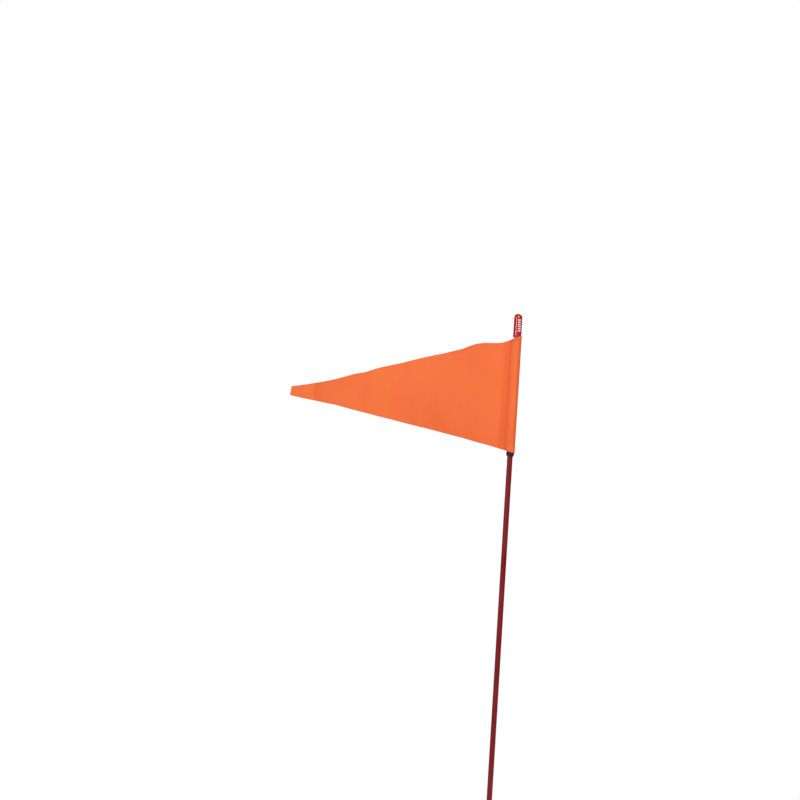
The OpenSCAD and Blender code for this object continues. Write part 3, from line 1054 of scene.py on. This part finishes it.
def make_world():
    """White all round for the camera, and a dimmer even light for everything else."""
    world = bpy.data.worlds.new("studio")
    bpy.context.scene.world = world
    world.use_nodes = True
    tree = world.node_tree
    tree.nodes.clear()
    out = tree.nodes.new("ShaderNodeOutputWorld")
    seen = tree.nodes.new("ShaderNodeBackground")
    seen.inputs["Color"].default_value = (1, 1, 1, 1)
    seen.inputs["Strength"].default_value = 1.0
    light = tree.nodes.new("ShaderNodeBackground")
    light.inputs["Color"].default_value = (1, 1, 1, 1)
    light.inputs["Strength"].default_value = 0.10
    path = tree.nodes.new("ShaderNodeLightPath")
    mix = tree.nodes.new("ShaderNodeMixShader")
    tree.links.new(path.outputs["Is Camera Ray"], mix.inputs[0])
    tree.links.new(light.outputs[0], mix.inputs[1])
    tree.links.new(seen.outputs[0], mix.inputs[2])
    tree.links.new(mix.outputs[0], out.inputs["Surface"])


def make_floor():
    """A wide plain floor just under the stud: pale round the whip, and as white as the studio beyond."""
    radius, sides = 14000, 64
    points = [(radius * math.cos(2 * math.pi * k / sides), radius * math.sin(2 * math.pi * k / sides),
               FLOOR_Z - 0.2) for k in range(sides)]
    floor = add_mesh("floor", points, [tuple(range(sides))], smooth=False)
    n = Nodes("floor")
    n.set(Base_Color=(0.93, 0.93, 0.93, 1), Roughness=0.9, Specular_IOR_Level=0.1)
    distance = n.add("ShaderNodeVectorMath", operation="LENGTH")
    n.feed(distance.inputs[0], n.object_place())
    far = n.map_range(distance.outputs["Value"], 0.25, 1.0, 0.0, 1.0)
    seen = n.add("ShaderNodeLightPath").outputs["Is Camera Ray"]
    glow = n.add("ShaderNodeEmission", {"Color": (1, 1, 1, 1), "Strength": 1.0})
    mix = n.add("ShaderNodeMixShader")
    n.feed(mix.inputs[0], n.math("MULTIPLY", far, seen))
    n.feed(mix.inputs[1], n.shader.outputs[0])
    n.feed(mix.inputs[2], glow.outputs[0])
    n.feed(n.tree.nodes["Material Output"].inputs["Surface"], mix.outputs[0])
    floor.data.materials.append(n.material)


def make_stage():
    """Camera, white surroundings, floor and soft studio lights."""
    make_camera()
    make_world()
    make_floor()
    flag_point = (-0.15, 0, 1.07)
    area_light("key", (0.35, -1.8, 2.1), flag_point, (1.0, 1.0), 32)
    area_light("left_strip", (-1.8, -1.6, 1.3), (0, 0, 1.2), (0.4, 0.8), 12)
    # The top light fills the shadows without its own highlight on the cap
    top = area_light("top", (-0.1, 0.2, 3.4), (0, 0, 0), (2.0, 2.0), 20)
    top.visible_glossy = False
    area_light("rear", (0.3, 2.5, 2.5), flag_point, (1.4, 1.4), 36)
    bpy.context.scene.view_settings.view_transform = "Standard"
    bpy.context.scene.view_settings.look = "None"


# ---------------------------------------------------------------- the whip

make_stage()

flag_cloth, flag_size, flag_area = flag_piece()
finish_piece(flag_cloth, flag_material(), "flag", ["pole_sleeve", "pennant_panel"])
stitches = finish_piece(stitching_piece(), thread_material(), "flag", ["sleeve_stitching"])

finish_piece(cap_piece(), cap_material(), "cap", ["tip_cap"])
finish_piece(mark_piece(), mark_material(), "cap", ["cap_mark"])
finish_piece(rod_piece(), rod_material(), "pole", ["rod_jacket"])
finish_piece(ring_piece(), rubber_material(), "ring", ["retaining_ring"])

nickel = metal_material("nickel_plate", rgb(206, 202, 192), rgb(168, 162, 150), 0.20, 0.34)
zinc = metal_material("zinc_steel", rgb(204, 207, 210), rgb(160, 164, 168), 0.26, 0.42, turned=False)
finish_piece(ferrule_piece(), nickel, "pole", ["ferrule"])
finish_piece(stud_piece(), zinc, "pole", ["base_stud"])
finish_piece(nut_piece(), zinc, "nut", ["mounting_nut"])
finish_piece(washer_piece(), zinc, "washer", ["lock_washer"])

for node, material in (("rod_core", fibreglass_material()), ("ferrule_bond", epoxy_material())):
    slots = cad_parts[node].data.materials
    slots.clear()
    slots.append(material)
